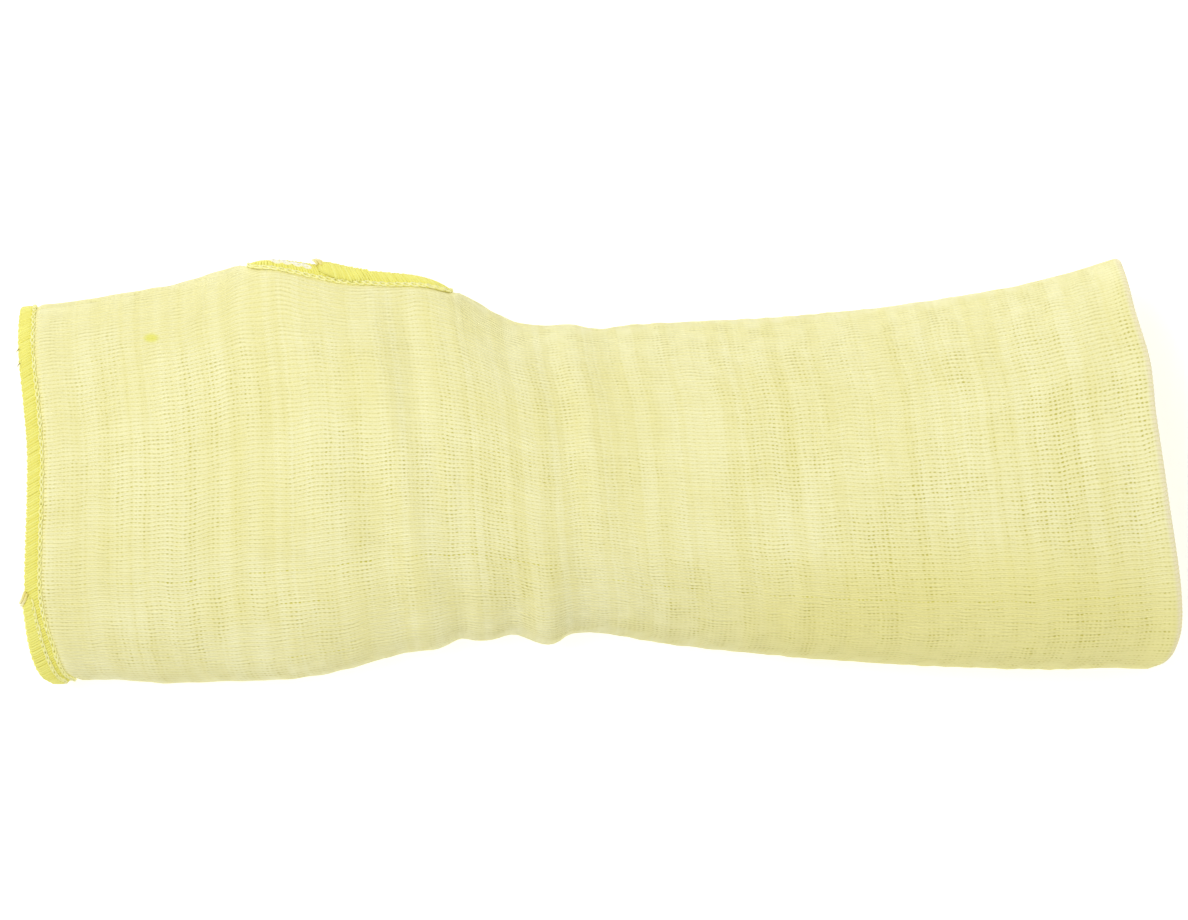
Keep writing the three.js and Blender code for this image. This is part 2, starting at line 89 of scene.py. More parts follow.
# %% Cross sections: place along, zone, thumb side, outer side, height
ZONES = {
    "hand": (HAND_WIDTH, HAND_HEIGHT),
    "wrist": (WRIST_WIDTH, WRIST_HEIGHT),
    "forearm": (FOREARM_WIDTH, FOREARM_HEIGHT),
}
SECTIONS = [
    (0.00, "hand", 0.433, 0.562, 0.92), (0.05, "hand", 0.449, 0.557, 0.96),
    (0.10, "hand", 0.473, 0.566, 1.00), (0.15, "hand", 0.500, 0.562, 1.03),
    (0.20, "hand", 0.544, 0.558, 1.06), (0.25, "hand", 0.551, 0.541, 1.08),
    (0.30, "hand", 0.536, 0.502, 1.08), (0.35, "wrist", 0.638, 0.578, 1.00),
    (0.40, "wrist", 0.580, 0.552, 0.99), (0.45, "wrist", 0.488, 0.552, 1.00),
    (0.50, "wrist", 0.476, 0.538, 1.00), (0.55, "wrist", 0.478, 0.566, 1.02),
    (0.60, "wrist", 0.485, 0.588, 1.05), (0.70, "forearm", 0.373, 0.459, 0.86),
    (0.80, "forearm", 0.400, 0.475, 0.92), (0.90, "forearm", 0.443, 0.483, 0.97),
    (0.95, "forearm", 0.475, 0.480, 0.99), (1.00, "forearm", 0.514, 0.480, 1.00),
]

# %% Outlines of the two ends: across, then the hand end and the forearm end from the middle
END_OUTLINES = [
    (1.00, 0.5285, 0.4730), (0.90, 0.5295, 0.4785), (0.75, 0.5290, 0.4850),
    (0.50, 0.5245, 0.4981), (0.25, 0.5208, 0.5031), (0.00, 0.5208, 0.5100),
    (-0.25, 0.5222, 0.5168), (-0.50, 0.5231, 0.5241), (-0.65, 0.5205, 0.5273),
    (-0.80, 0.5171, 0.5280), (-0.90, 0.5126, 0.5240), (-0.97, 0.5062, 0.5160),
    (-1.00, 0.4976, 0.5025),
]

# %% Folds: from (along, across), to (along, across), rise, width
FOLDS = {
    "palm ridge": ((0.310, 0.95), (0.335, -0.35), 0.030, 0.070),
    "palm ridge, outer end": ((0.325, 0.10), (0.352, -1.20), 0.034, 0.060),
    "valley by the slot": ((0.345, 0.85), (0.342, 0.05), -0.034, 0.065),
    "valley on the palm": ((0.290, 0.35), (0.325, -0.95), -0.028, 0.070),
    "dip after the palm": ((0.372, -0.55), (0.372, -1.40), -0.022, 0.060),
    "bulge at the cuff": ((0.392, -0.50), (0.396, -1.50), 0.020, 0.060),
    "wrist valley": ((0.478, 1.05), (0.484, -0.60), -0.030, 0.055),
    "wrist ridge": ((0.500, 1.10), (0.500, -0.45), 0.026, 0.060),
    "wrist bulge": ((0.452, -0.45), (0.446, -1.50), 0.042, 0.055),
    "dip before the bulge": ((0.418, -0.50), (0.418, -1.40), -0.022, 0.060),
    "dip after the bulge": ((0.478, -0.40), (0.478, -1.40), -0.018, 0.055),
    "hand crease": ((0.150, 0.30), (0.170, -0.55), -0.016, 0.080),
    "long crease, hand": ((0.030, -0.60), (0.360, -0.45), -0.014, 0.060),
    "long crease, forearm": ((0.420, -0.44), (1.060, -0.62), 0.022, 0.110),
    "small dent past the wrist": ((0.528, 1.60), (0.526, 0.40), -0.024, 0.075),
}


# %% A smooth curve through one column of a table
def ease(x, low, high):
    t = np.clip((x - low) / (high - low), 0, 1)
    return t * t * (3 - 2 * t)


def column(pairs):
    xs, ys = np.array(sorted(pairs), float).T
    last = len(xs) - 1
    before = np.maximum(np.arange(last + 1) - 1, 0)
    after = np.minimum(np.arange(last + 1) + 1, last)
    slope = (ys[after] - ys[before]) / (xs[after] - xs[before])

    def at(x):
        x = np.asarray(x, float)
        k = np.clip(np.searchsorted(xs, x) - 1, 0, last - 1)
        run = xs[k + 1] - xs[k]
        t = np.clip((x - xs[k]) / run, 0, 1)
        curve = ys[k] * (1 + 2 * t) * (1 - t) ** 2 + ys[k + 1] * t * t * (3 - 2 * t)
        curve += run * (slope[k] * t * (1 - t) ** 2 - slope[k + 1] * t * t * (1 - t))
        return curve + np.where(t == 0, slope[k], slope[k + 1]) * (x - xs[k] - t * run)

    return at


thumb_side = column([(a, thumb * ZONES[zone][0]) for a, zone, thumb, _, _ in SECTIONS])
outer_side = column([(a, outer * ZONES[zone][0]) for a, zone, _, outer, _ in SECTIONS])
full_height = column([(a, height * ZONES[zone][1]) for a, zone, _, _, height in SECTIONS])
hand_outline = column([(across, -hand * LENGTH) for across, hand, _ in END_OUTLINES])
forearm_outline = column([(across, forearm * LENGTH) for across, _, forearm in END_OUTLINES])


# %% Folds, and the section of the tube at a place along it
def fold_rise(along, across):
    place = np.stack(np.broadcast_arrays(along * LENGTH, across * WRIST_WIDTH / 2), -1)
    rise = np.zeros(place.shape[:-1])
    for start, end, height, width in FOLDS.values():
        start = np.array((start[0] * LENGTH, start[1] * WRIST_WIDTH / 2))
        run = np.array((end[0] * LENGTH, end[1] * WRIST_WIDTH / 2)) - start
        t = np.clip((place - start) @ run / (run @ run), 0, 1)
        distance = np.linalg.norm(place - start - t[..., None] * run, axis=-1)
        fade = np.sin(np.pi * np.clip(t, FOLD_TIP, 1 - FOLD_TIP)) ** FOLD_POWER
        rise += height * WRIST_HEIGHT * fade * np.exp(-((distance / (width * WRIST_WIDTH)) ** 2))
    return rise


def section(along):
    thumb, outer, height = thumb_side(along), outer_side(along), full_height(along)
    middle, half = (thumb - outer) / 2, (thumb + outer) / 2
    return middle, half, height * WIDEST_LINE, height * (1 - WIDEST_LINE)


def round_speed(along, angle):
    _, half, widest, dome = section(along)
    down = -np.sin(angle)
    rise = np.where(down < 0, dome, widest * SAG * 2 * (1 - down))
    return np.hypot(half * np.sin(angle), rise * np.cos(angle))


def slot_angle(along):
    return np.arcsin(SLOT_ABOVE / section(along)[3])


def angle_at_arc(along, arc):
    """The angle round the tube at a length of cloth up or down from the middle of the slot."""
    along, arc = np.broadcast_arrays(np.asarray(along, float), np.asarray(arc, float))
    step, angle = arc / ARC_STEPS, slot_angle(along)
    for _ in range(ARC_STEPS):
        ahead = angle + step / 2 / round_speed(along, angle)
        angle = angle + step / round_speed(along, ahead)
    return angle


def arc_at_angle(along, angle):
    start = slot_angle(along)
    step = np.arctan2(np.sin(angle - start), np.cos(angle - start)) / ARC_STEPS
    return sum(step * round_speed(along, start + (k + 0.5) * step) for k in range(ARC_STEPS))


# %% The slot and its two lips
def slot_outline(turn, reach):
    """Distance from the hand edge, and length of cloth round the tube, on a line outside the slot."""
    x, y = np.cos(turn) / HALF_SLOT, np.sin(turn) / HALF_MOUTH
    size = np.hypot(x, y)
    from_hand = SLOT_MIDDLE + HALF_SLOT * np.cos(turn) + reach * x / size
    return from_hand, HALF_MOUTH * np.sin(turn) + reach * y / size


def slot_reach(from_hand, arc):
    x, y = (from_hand - SLOT_MIDDLE) / HALF_SLOT, arc / HALF_MOUTH
    ratio = np.hypot(x, y)
    slope = np.maximum(np.hypot(x / HALF_SLOT, y / HALF_MOUTH), 1e-9)
    return np.where(ratio < 1, 0, (ratio - 1) * ratio / slope)


def lip_offset(from_hand, arc):
    run = (from_hand - SLOT_MIDDLE) / HALF_SLOT
    lip = -SLOT_TUCK + (SLOT_FLARE + SLOT_TUCK) * ease(arc, -SLOT_MOUTH, SLOT_MOUTH)
    fade = np.abs(run / LIP_FADE_RUN) ** LIP_FADE_POWER + (arc / LIP_FADE_ROUND / SLOT_MOUTH) ** 2
    return lip * np.exp(-fade)


# %% A point of the outer face, and a point below it
def face_point(along, angle):
    along, angle = np.broadcast_arrays(np.asarray(along, float), np.asarray(angle, float))
    across, up = np.cos(angle), np.sin(angle)
    middle, half, widest, dome = section(along)
    sink = np.minimum(1, SAG * (1 - (1 + np.minimum(up, 0)) ** 2))
    x = hand_outline(across) * (1 - along) + forearm_outline(across) * along
    y = middle + half * across
    z = np.where(up > 0, widest + dome * up, widest * (1 - sink))
    outward = np.hypot(across / half, up / dome)
    rise = fold_rise(along, across) * ease(up, -CREASE_FADE, 0)
    y = y + rise * across / half / outward + lip_offset(along * LENGTH, arc_at_angle(along, angle))
    z = z + rise * up / dome / outward
    return np.stack((x, y, z), -1)


def cloth_point(from_hand, angle, depth):
    """A point at a depth under the outer face, along the face's normal."""
    along, step = np.asarray(from_hand, float) / LENGTH, ANGLE_STEP
    ahead = face_point(along + step, angle) - face_point(along - step, angle)
    turned = face_point(along, angle + step) - face_point(along, angle - step)
    normal = np.cross(turned, ahead)
    normal /= np.linalg.norm(normal, axis=-1, keepdims=True)
    return face_point(along, angle) - normal * np.asarray(depth)[..., None]


# %% [markdown]
# ## The knitted cloth
# A plain knit has columns of stitches, called wales, that run along the tube, and rows, called courses,
# that go round it. Every wale runs from end to end, so it is narrow at the wrist and wide at the forearm.
# At the slot no wale is lost: they part round it. A grid with its columns on the wales follows both.
# Each wale gets a column on its crest and one in the groove beside it, so the ribs are real geometry, and
# the stitches are left to the material. One closed mesh holds the outer face, the fold and the inner face.

# %% Wales and courses
WALES = 228
UNDERSIDE = (0.585, 0.845)  # shares of the way round that lie on the table, with no grooves there
GROOVE = 0.24 * MM
ROW = 1.36 * MM
SLOT_ROWS = 38
INNER_EVERY = 7
HEM_STEPS = 6
COURSES = 250
PARTING = 28 * MM  # the slot pushes wales aside over this much cloth
PINCH = 6 * MM  # and its two ends gather it over this much
PARTING_FADE = 1.5
SWAY = 0.30 * MM  # how far a wale wanders from its line
CALM = (2 * MM, 9 * MM)  # it wanders less this near to the slot's middle line
WAVES = 0.28 * MM  # how deep the soft waves across the cloth are
FLUFF = 0.20 * MM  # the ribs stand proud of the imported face, but not on the table
SWAY_WAVES, STREAK_WAVES = (14, 5, (0.03, 0.12)), (30, 9, (0.03, 0.24))  # count, turns, waves a course
HEM_FADE, HEM_COURSE = 8 * MM, 0.3
ROUND_STEPS = 720

crests = np.arange(WALES) + 0.5
grooves = np.arange(WALES + 1.0)
share = grooves / WALES
grooves = grooves[(share < UNDERSIDE[0]) | (share > UNDERSIDE[1])]
wale_columns = np.sort(np.concatenate((crests, grooves)))


def cloth_rows():
    """Rows along the sleeve, with the half width of the slot in each."""
    place, arc = slot_outline(np.linspace(np.pi, 0, SLOT_ROWS + 1), SEAM_START)
    arc[[0, -1]] = 0
    hand = np.linspace(SEAM_START, place[0], round((place[0] - SEAM_START) / ROW) + 1)[:-1]
    end = LENGTH - KNIT_WALL / 2
    arm = np.linspace(place[-1], end, round((end - place[-1]) / ROW) + 1)[1:]
    places = np.concatenate((hand, place, arm))
    return places, np.concatenate((0 * hand, arc, 0 * arm))


def waves(share, course, count, turns, along):
    """A sum of soft waves, each with a whole number of turns round the tube. About -1 to 1."""
    total = 0
    for _ in range(count):
        phase = 2 * np.pi * (rng.integers(-turns, turns + 1) * share + rng.uniform(*along) * course)
        total = total + np.sin(phase + rng.uniform(0, 2 * np.pi))
    return total / math.sqrt(count) / 1.6


def parting(places, holes, arcs):
    """How far the slot pushes cloth aside that would lie this far up or down from its middle line."""
    run = np.clip(abs(places - SLOT_MIDDLE) / (HALF_SLOT + 9 * MM), 0, 1)
    wide = holes.max() * np.cos(run * np.pi / 2) ** 2
    far = np.clip(1 - arcs / PARTING, 0, 1) ** PARTING_FADE
    near = np.clip(1 - arcs / PINCH, 0, 1) ** PARTING_FADE
    return wide[:, None] * far + (holes - wide)[:, None] * near


def wale_angles(places, holes):
    """Where each wale lies in each row: evenly round the tube, but parted by the slot."""
    step = 2 * np.pi / ROUND_STEPS
    sweep = slot_angle(places / LENGTH)[:, None] + step * np.arange(ROUND_STEPS + 1)
    speed = round_speed(places[:, None] / LENGTH, sweep[:, :-1] + step / 2)
    arcs = np.concatenate((np.zeros((len(places), 1)), (speed * step).cumsum(1)), 1)
    girth = arcs[:, -1:]
    natural = wale_columns / WALES * girth
    parted = natural + parting(places, holes, natural) - parting(places, holes, girth - natural)
    course = places[:, None] / LENGTH * COURSES
    wander = SWAY * waves(wale_columns / WALES, course, *SWAY_WAVES)
    calm = ease(natural, *CALM) * ease(girth - natural, *CALM)
    parted = parted + wander * calm * ease(places, SEAM_SWELL, SEAM_SWELL + 6 * MM)[:, None]
    return np.array([np.interp(p, a, s) for p, a, s in zip(parted, arcs, sweep)]), girth[:, 0]


places, holes = cloth_rows()
angles, girths = wale_angles(places, holes)
print(f"{len(places)} rows of {len(wale_columns)} columns, girth {girths.min():.3f} to {girths.max():.3f} m")


# %% How the cloth's surface stands: drawn in under the thread, grooved between wales, and streaked
def band_width(angle):
    a, b, c, d = SWING_SPAN
    turned = np.mod(angle, 2 * np.pi)
    return BAND_WIDTH + BAND_SWING * ease(turned, a, b) * (1 - ease(turned, c, d))


def drawn_in(from_hand, angle):
    arc = arc_at_angle(from_hand / LENGTH, angle)
    swing = band_width(angle) - BAND_WIDTH
    at_hand = 1 - ease(from_hand - swing, SEAM_BORDER, SEAM_SWELL)
    at_slot = 1 - ease(slot_reach(from_hand, arc), SEAM_BORDER, SEAM_SWELL)
    return np.maximum(at_hand, at_slot)


from_hand = places[:, None] + 0 * angles
courses = from_hand / LENGTH * COURSES
drawn = drawn_in(from_hand, angles)
groove = 0.5 + 0.5 * np.cos(2 * np.pi * wale_columns)[None, :]
hem_fade = 1 - 0.5 * ease(from_hand, LENGTH - HEM_FADE, LENGTH - KNIT_WALL / 2)
streaks = 0.5 + 0.5 * np.clip(waves(wale_columns / WALES, courses, *STREAK_WAVES), -1, 1)
streaks *= 1 - ease(from_hand, LENGTH - 9 * MM, LENGTH - 2 * MM)
fluff = FLUFF * ease(np.sin(angles), -0.9, -0.4)
depth = SEAM_START * drawn + (GROOVE * groove * hem_fade + WAVES * streaks - fluff) * (1 - drawn)
outer_points = cloth_point(from_hand, angles, depth)
inner_rows = sorted({0, len(places) - 1, *range(0, len(places), INNER_EVERY),
                     int(np.argmax(holes > 0)) - 1, len(places) - int(np.argmax(holes[::-1] > 0))})
inner_points = cloth_point(from_hand[inner_rows], angles[inner_rows], np.full((1, 1), KNIT_WALL))

# %% The fold at the forearm end, which scallops from wale to wale
radius = KNIT_WALL / 2
turns = np.pi * np.arange(1, HEM_STEPS) / HEM_STEPS
hem_radius = radius - GROOVE * groove / 2
hem_place = LENGTH - radius + hem_radius * np.sin(turns)[:, None]
hem_depth = radius - hem_radius * np.cos(turns)[:, None]
hem_points = cloth_point(hem_place, angles[-1][None, :], hem_depth)

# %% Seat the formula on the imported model's own box
cad_low, cad_high = (np.array(corner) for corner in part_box("knit_sleeve"))
plain = np.concatenate((cloth_point(from_hand, angles, SEAM_START * drawn).reshape(-1, 3), hem_points[:, 1]))
SEAT = ((cad_low + cad_high) / 2 - (plain.min(0) + plain.max(0)) / 2) * (1, 1, 0)
print("the sleeve's formula moves", (SEAT / MM).round(3), "mm onto the packed box")


# %% How every piece is made
def new_object(name, data):
    made = bpy.data.objects.new(name, data)
    bpy.context.scene.collection.objects.link(made)
    return made


def new_piece(name, points, faces):
    """A smooth piece on the root body. What would sink into the table is pressed flat on it."""
    points = np.concatenate(points) + SEAT
    points[:, 2] = np.maximum(points[:, 2], 0)
    mesh = bpy.data.meshes.new(name)
    mesh.from_pydata(points.tolist(), [], [[int(i) for i in face] for face in faces])
    mesh.shade_smooth()
    piece = new_object(name, mesh)
    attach(piece, "root")
    print(f"{name}: {sum(len(p.vertices) - 2 for p in mesh.polygons)} triangles")
    return piece


# %% Build the grid: outer face, fold, inner face, and the two cut edges
def knit_mesh(name):
    points, faces, face_uvs = [], [], []
    count = 0

    def ring(row_points, courses_at, closed):
        """Adds one row of points, and joins its two ends where the slot is shut."""
        nonlocal count
        used = row_points[:-1] if closed else row_points
        points.append(used)
        ids = count + np.arange(len(used))
        count += len(used)
        return np.append(ids, ids[0]) if closed else ids, courses_at

    def between(near, far, outward):
        (a, va), (b, vb) = near, far
        quads = np.stack((a[:-1], a[1:], b[1:], b[:-1]), -1)
        u, w = wale_columns[:-1], wale_columns[1:]
        near_course, far_course = 0 * u + va, 0 * u + vb
        along = np.stack((near_course, near_course, far_course, far_course), -1)
        uv = np.stack((np.stack((u, w, w, u), -1), along), -1)
        if not outward:
            quads, uv = quads[:, ::-1], uv[:, ::-1]
        faces.extend(quads.tolist())
        face_uvs.append(uv.reshape(-1, 2))

    shut = holes == 0
    outer = [ring(p, c[0], s) for p, c, s in zip(outer_points, courses, shut)]
    for near, far in zip(outer, outer[1:]):
        between(near, far, True)
    hem = [ring(p, COURSES + HEM_COURSE * k, True) for k, p in enumerate(hem_points, 1)]
    inner = [ring(p, courses[r][0], shut[r]) for r, p in zip(inner_rows, inner_points)]
    over = [outer[-1], *hem, (inner[-1][0], COURSES + HEM_COURSE * HEM_STEPS)]
    for near, far in zip(over, over[1:]):
        between(near, far, True)
    for near, far in zip(inner, inner[1:]):
        between(near, far, False)
    between((inner[0][0], 0), outer[0], True)
    for (r, s), near, far in zip(zip(inner_rows, inner_rows[1:]), inner, inner[1:]):
        if holes[r:s + 1].max() == 0:
            continue
        for side, edge_wale in ((0, 0), (-1, WALES)):
            edge = [outer[k][0][side] for k in range(r, s + 1)]
            loop = list(dict.fromkeys([near[0][side], *edge, far[0][side]]))
            faces.append(loop if side == 0 else loop[::-1])
            face_uvs.append(np.full((len(loop), 2), (edge_wale, courses[r][0])))
    piece = new_piece(name, points, faces)
    piece.data.uv_layers.new(name="wales").data.foreach_set("uv", np.concatenate(face_uvs).ravel())
    piece.data.validate()
    return piece


knit = knit_mesh("knitted_cloth")
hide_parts("knit_sleeve")

# %% [markdown]
# ## The thread that wraps the cut edges
# An overlock seam throws a bundle of threads over the edge at each stitch. Every throw starts at the
# needle's line, slants over the outer face, turns round the edge and goes back underneath. A texture of
# stripes would be flat at the edge, which shows in outline. So each throw is a small tube of its own on a
# thin core, placed by its distance along the edge. The tubes almost touch, as the real ones do.

# %% A cut edge, and places beside it by distance along it, reach into the cloth and depth
RULER_STEPS, FINE_STEPS = 2400, 4000


class Edge:
    def __init__(self, name, point_of):
        self.point_of = point_of
        self.turns = np.linspace(0, 2 * np.pi, RULER_STEPS + 1)
        path = point_of(self.turns, 0 * self.turns, 0 * self.turns)
        self.marks = np.append(0, np.linalg.norm(np.diff(path, axis=0), axis=-1).cumsum())
        self.length = self.marks[-1]
        print(f"{name} edge {self.length:.4f} m")

    def turn(self, distance):
        laps, rest = np.divmod(distance, self.length)
        return np.interp(rest, self.marks, self.turns) + laps * 2 * np.pi

    def distance(self, turn):
        fine = np.linspace(0, self.length, FINE_STEPS)
        return np.interp(turn, self.turn(fine), fine)

    def point(self, distance, reach, depth):
        return self.point_of(self.turn(distance), reach, depth)


def slot_point(turn, reach, depth):
    place, arc = slot_outline(turn, reach)
    return cloth_point(place, angle_at_arc(place / LENGTH, arc), depth)


HAND = Edge("hand", lambda angle, reach, depth: cloth_point(reach, angle, depth))
SLOT = Edge("slot", slot_point)

# %% Tubes along many short paths at once
THREAD = 0.37 * MM  # half the thickness of one throw
SIDES = 6
BAND_DEPTH = KNIT_WALL + SEAM_START


def tubes(paths, side, radii):
    """Closed tubes along paths of shape (tubes, points, 3). Side is each tube's sideways direction."""
    tangent = np.gradient(paths, axis=1)
    tangent /= np.linalg.norm(tangent, axis=-1, keepdims=True)
    across = side - (side * tangent).sum(-1, keepdims=True) * tangent
    across /= np.linalg.norm(across, axis=-1, keepdims=True)
    up = np.cross(tangent, across)
    turn = 2 * np.pi * np.arange(SIDES) / SIDES
    spread = across[..., None, :] * np.cos(turn)[:, None] + up[..., None, :] * np.sin(turn)[:, None]
    points = paths[..., None, :] + spread * radii[..., None, None]
    count, steps = paths.shape[:2]
    ids = np.arange(count * steps * SIDES).reshape(count, steps, SIDES)
    following = np.roll(ids, -1, axis=2)
    quads = np.stack((ids[:, :-1], following[:, :-1], following[:, 1:], ids[:, 1:]), -1)
    caps = np.concatenate((ids[:, 0, ::-1], ids[:, -1]))
    return points.reshape(-1, 3), quads.reshape(-1, 4).tolist() + caps.tolist()


def thread_piece(name, parts, node=None):
    """Joins parts of (points, faces, tone) into one piece. Tone varies the colour from throw to throw."""
    points, faces, tones, count = [], [], [], 0
    for part_points, part_faces, tone in parts:
        points.append(part_points)
        faces += [[i + count for i in face] for face in part_faces]
        tones.append(np.broadcast_to(tone, len(part_points)))
        count += len(part_points)
    piece = new_piece(name, points, faces)
    tone = piece.data.attributes.new("tone", "FLOAT", "POINT")
    tone.data.foreach_set("value", np.concatenate(tones))
    if node:
        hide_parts(node)
    return piece


# %% One run of throws over an edge
THROW_PITCH = 0.62 * MM
STITCH = 1.64 * MM  # a stitch gathers the throws near it, so that the edge scallops
SCALLOP = 0.10 * MM
SLANT = 0.55
PROUD = 0.14 * MM
CHAIN_ROOM = 0.5 * MM  # the needle's chain lies on the last part of a band
CORNER = 0.32 * MM  # a throw turns this tightly round the edge
# How far each of a throw's twelve points leans along the edge, and how thick it is there
LEAN = np.array([1, 1, 1, 1, 1, 1, 0.5, -0.2, -0.5, -0.6, -0.6, -0.6])
TAPER = np.array([0.55, 0.9, 1, 1, 1, 1, 1, 1, 1, 1, 0.9, 0.55])
BY_CHANCE, BY_PLACE = 0.65, 0.35  # what a throw's tone comes from


def throws(edge, distances, widths, swell=1.0, lift=0.0):
    """Each throw goes from the needle's line over the outer face, round the edge and back underneath."""
    count = len(distances)
    place = np.cos(2 * np.pi * distances / STITCH)
    r = THREAD * swell * rng.uniform(0.92, 1.08, count)
    top, bottom = r - PROUD - lift, BAND_DEPTH - r + lift
    nose = r - PROUD - lift - SCALLOP * place
    w = widths * rng.uniform(0.94, 1.04, count)
    reach = [w, 0.82 * w, 0.62 * w, 0.42 * w, 0.24 * w, nose + CORNER, nose, nose, nose + CORNER,
             0.35 * w, 0.65 * w, 0.92 * w]
    depths = [top + 0.34 * MM, top + 0.04 * MM, top, top, top, top + 0.06 * MM, top + 0.5 * MM,
              bottom - 0.5 * MM, bottom - 0.06 * MM, bottom, bottom, bottom - 0.25 * MM]
    reach, depths = np.stack(reach, 1), np.stack(depths, 1)
    along = distances[:, None] - SLANT * reach * LEAN
    sway = rng.normal(0, 0.05 * MM, (count, 1))
    paths = edge.point(along + sway, reach, depths)
    ahead = edge.point(along + 0.1 * MM, reach, depths)
    points, faces = tubes(paths, ahead - paths, r[:, None] * TAPER)
    shade = BY_CHANCE * rng.uniform(0, 1, count) + BY_PLACE * (0.5 + 0.5 * place)
    return points, faces, np.repeat(shade, reach.shape[1] * SIDES)


# %% The core under a run
CORE_SHORT = 0.1 * MM  # it ends this much before its band, under the chain
CORE_INSET, CORE_THICK, CORE_TONE = 0.26 * MM, 0.4 * MM, 0.35


def core(edge, distances, widths, lift=0.0, loop=True):
    """A thin closed band under the throws, so that no gap between them shows the cloth."""
    inset = CORE_INSET * np.ones(len(distances)) - lift
    w, under = widths - CORE_SHORT, BAND_DEPTH - inset
    profile = [(w, inset - 0.06 * MM), (w / 2, inset), (0.1 * MM + inset, inset),
               (inset, inset + 0.2 * MM), (inset, under - 0.2 * MM), (0.1 * MM + inset, under),
               (w, under - 0.1 * MM), (w, under - 0.35 * MM), (inset + CORE_THICK, under - CORE_THICK),
               (inset + CORE_THICK, inset + CORE_THICK), (w, inset + 0.38 * MM)]
    reach, depths = (np.stack(row, 1) for row in zip(*profile))
    points = edge.point(distances[:, None], reach, depths)
    ids = np.arange(reach.size).reshape(reach.shape)
    near, far = (ids, np.roll(ids, -1, 0)) if loop else (ids[:-1], ids[1:])
    quads = np.stack((near, np.roll(near, -1, 1), np.roll(far, -1, 1), far), -1).reshape(-1, 4).tolist()
    if not loop:
        quads += [ids[0][::-1].tolist(), ids[-1].tolist()]
    return points.reshape(-1, 3), quads, CORE_TONE


# %% Throws all the way round both edges
def whole_run(name, node, edge, width_of):
    count = round(edge.length / THROW_PITCH)
    distances = edge.length * np.arange(count) / count
    steps = edge.length * np.arange(count // 2) / (count // 2)
    over = throws(edge, distances, width_of(edge.turn(distances)) - CHAIN_ROOM)
    return thread_piece(name, [over, core(edge, steps, width_of(edge.turn(steps)))], node)


hand_run = whole_run("hand_edge_thread", "hand_edge_overlock", HAND, band_width)
slot_run = whole_run("thumb_slot_thread", "thumb_slot_overlock", SLOT, lambda turn: BAND_WIDTH + 0 * turn)

# %% [markdown]
# ## Where a seam ends over its own start
# The machine sews a little past its start, and the second run lies on the first. On the hand edge it
# comes in from the outside and widens. On the slot it is short and thick. Both start or end in a knot of
# thread with a cut tail. The same throws are used, lifted, with a width and thickness that vary.

# %% The second runs: their turns, then share of the run, width in bands, swell of the thread, lift in laps
HAND_LAP = (124, 192, [(0.00, 0.34, 1.00, 0.45), (0.05, 0.42, 1.45, 0.80), (0.16, 0.52, 1.20, 0.80),
                       (0.40, 0.75, 1.00, 0.75), (0.85, 0.92, 1.00, 0.70), (1.00, 0.80, 0.85, 0.35)])
SLOT_LAP = (80, 112, [(0.00, 0.70, 0.70, 0.20), (0.30, 0.88, 1.10, 0.55), (0.60, 0.85, 1.45, 0.90),
                      (0.85, 0.75, 1.60, 0.95), (1.00, 0.55, 1.30, 0.60)])
LAP_CORE_SHORT = 0.15 * MM


def lap_curve(lap, place, unit):
    """A smooth curve through one column of a second run's table."""
    return column([(row[0], row[place] * unit) for row in lap[2]])


def second_run(name, node, edge, lap):
    first, last = edge.distance(np.radians(lap[:2]))
    distances = np.arange(first, last, THROW_PITCH)
    at = (distances - first) / (last - first)
    width, swell, lift = (lap_curve(lap, *of)(at) for of in ((1, BAND_WIDTH), (2, 1), (3, LAP_LIFT)))
    parts = [throws(edge, distances, width, swell, lift),
             core(edge, distances, width - LAP_CORE_SHORT, lift, loop=False)]
    return thread_piece(name, parts, node)


hand_lap = second_run("hand_edge_second_run", "hand_edge_overlock_lap", HAND, HAND_LAP)
slot_lap = second_run("thumb_slot_second_run", "thumb_slot_overlock_lap", SLOT, SLOT_LAP)

# %% Cut tails: strands that leave the seam at one end of its second run
TAIL_TAPER = np.array([0.8, 1, 1, 1, 1, 1, 0.95, 0.85, 0.6])


def tail(name, edge, place, strands, last_tone=1.0):
    """Each strand is a list of (along, out, up) in millimetres from the place, and half its thickness."""
    parts, count = [], len(TAIL_TAPER)
    for steps, thick in strands:
        rough = np.array(steps) * MM
        share = np.linspace(0, len(rough) - 1, count)
        bent = np.stack([np.interp(share, np.arange(len(rough)), rough[:, k]) for k in range(3)], 1)
        bent[1:-1] = (bent[:-2] + bent[1:-1] * 2 + bent[2:]) / 4
        along, out, up = bent.T
        path = edge.point(place + along, -out, -up)
        side = edge.point(place + along + 0.1 * MM, -out, -up - 0.03 * MM) - path
        points, faces = tubes(path[None], side[None], (TAIL_TAPER * thick * MM)[None])
        parts.append((points, faces, np.repeat(np.linspace(0, last_tone, count), SIDES)))
    return thread_piece(name, parts)


